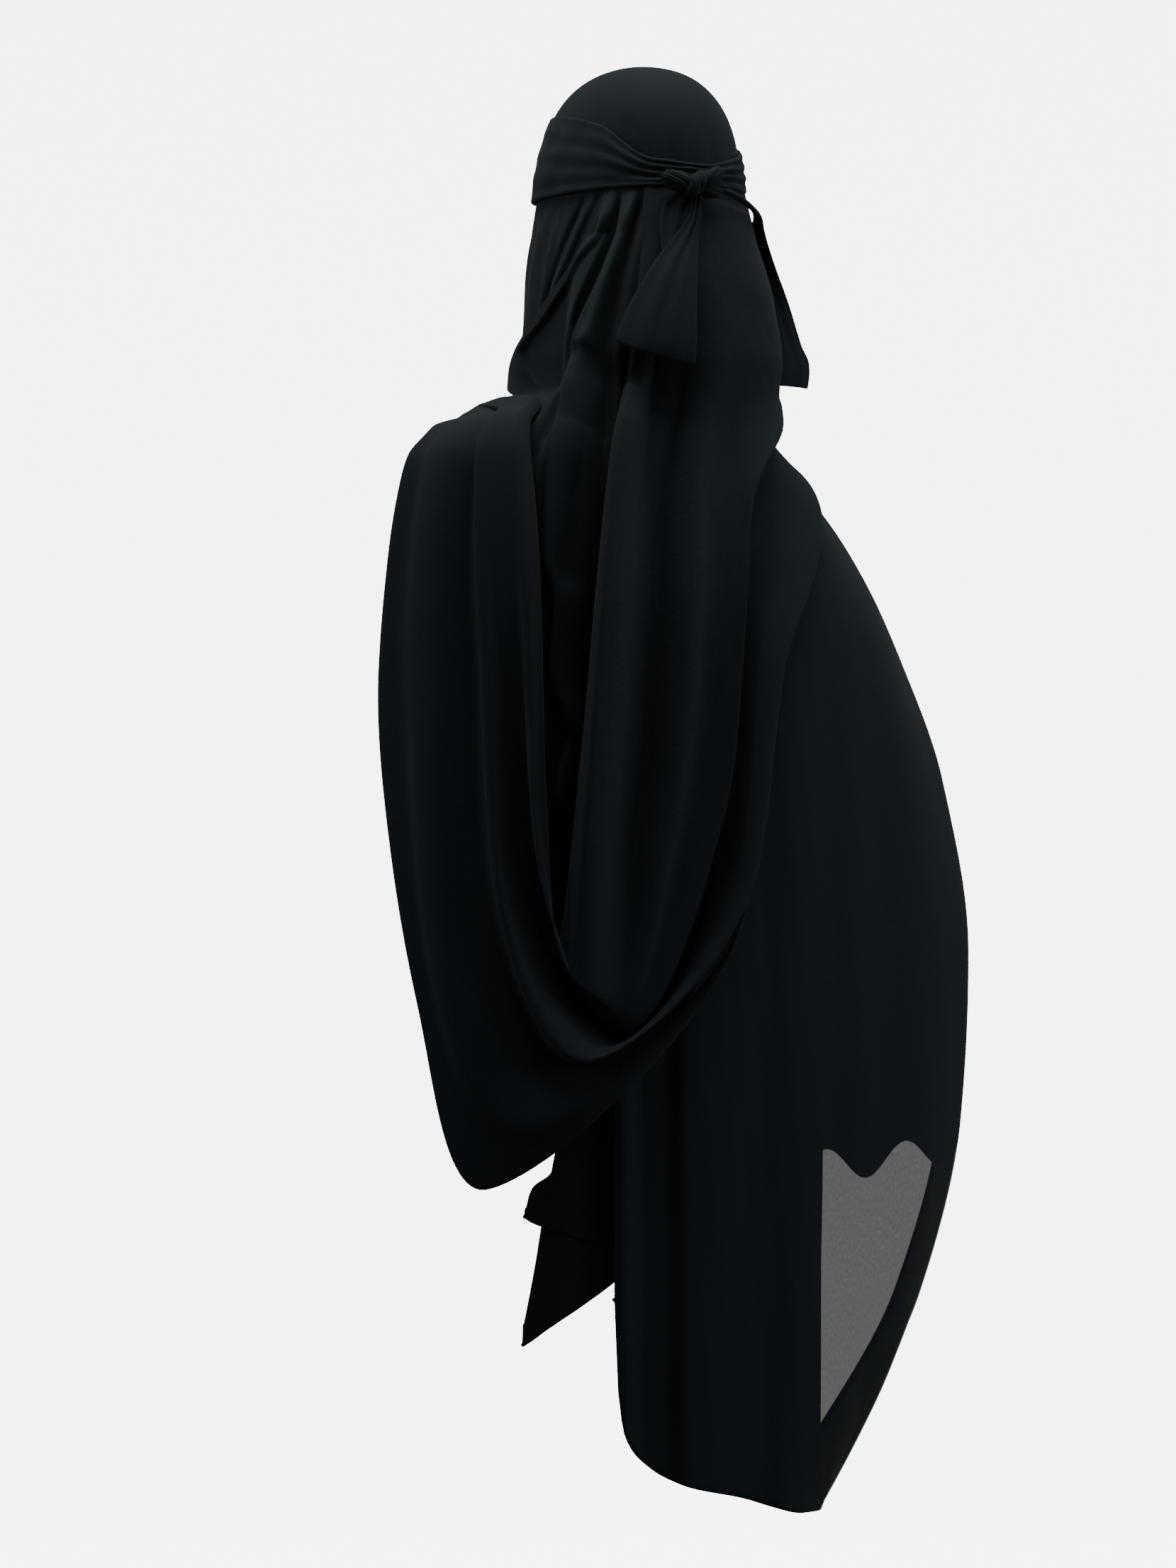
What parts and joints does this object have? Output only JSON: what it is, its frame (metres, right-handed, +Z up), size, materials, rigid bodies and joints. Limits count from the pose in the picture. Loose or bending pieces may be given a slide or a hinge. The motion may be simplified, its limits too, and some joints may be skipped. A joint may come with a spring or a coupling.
{
  "type": "hijab",
  "caption": "Worn black hijab with a tied head band, gathered back fall, deep swagged cowl thrown over one shoulder, and a long side drape.",
  "frame": {"origin": "inside top of the crown, where the hijab sits on the head", "axes": "+Z up, the wearer faces -Y, +X is the wearer's left"},
  "size_m": [0.5966, 0.3158, 1.2127],
  "materials": {
    "crepe": "matt black crepe, opaque where layers lie together",
    "tie_crepe": "matt black crepe, slightly thinner",
    "sheer_crepe": "matt black crepe, slightly sheer in one layer"
  },
  "bodies": {
    "root": {"crown_cover": "crepe", "tie_band": "tie_crepe", "knot": "tie_crepe", "tail_left": "tie_crepe", "tail_right": "tie_crepe", "back_fall": "crepe", "gathered_fall": "crepe", "left_side_fall": "crepe", "right_side_fall": "crepe", "front_wrap": "crepe", "arm_wrap": "crepe", "inner_drape": "crepe", "right_drape": "sheer_crepe", "waterfall_upper": "crepe", "waterfall_lower": "crepe"}
  },
  "joints": []
}
